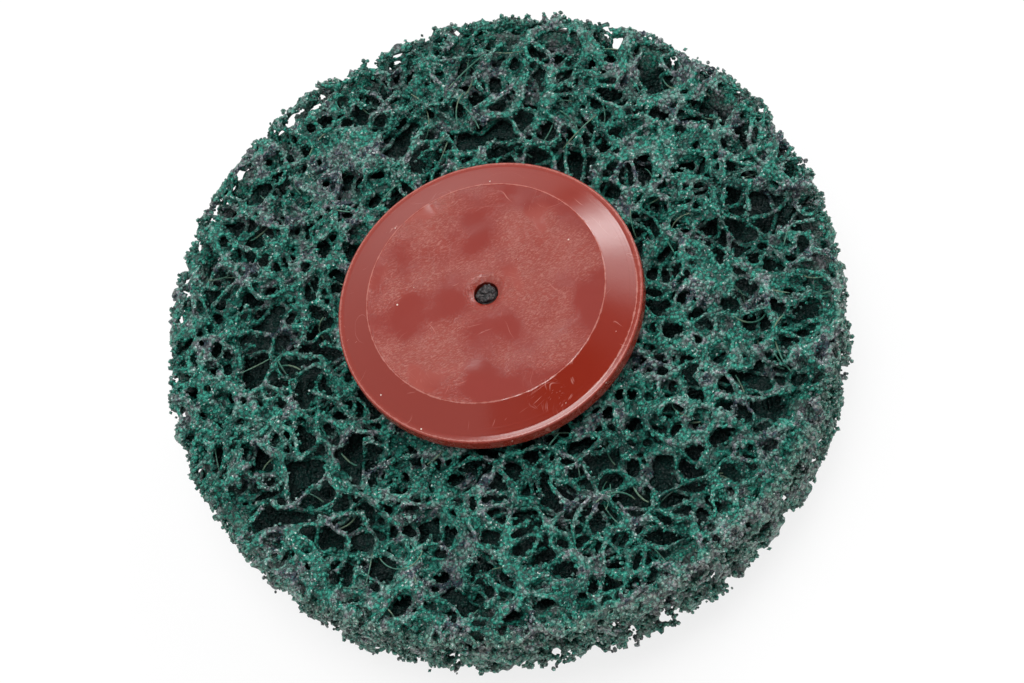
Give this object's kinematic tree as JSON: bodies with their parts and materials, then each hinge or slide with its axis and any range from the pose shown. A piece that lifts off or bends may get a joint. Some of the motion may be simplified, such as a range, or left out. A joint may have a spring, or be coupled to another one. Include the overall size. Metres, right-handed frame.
{
  "type": "surface conditioning disc",
  "caption": "Round open-web abrasive disc held between a low conical front cap and a rear flange with a coarse male quick-change stud.",
  "frame": {"origin": "centre of the stud's flat end, which is the lowest point of the part", "axes": "+Z along the spindle axis, out of the disc's front face; the disc is round, so X and Y are free"},
  "size_m": [0.0992, 0.0998, 0.0283],
  "materials": {
    "web": "open coiled filament web, matt grit in green resin",
    "cap": "red-brown moulded plastic, gloss ring and scuffed matt face",
    "button": "dark filled plastic, matt"
  },
  "bodies": {
    "root": {"abrasive_web": "web", "front_cap": "cap", "drive_button": "button"}
  },
  "joints": []
}
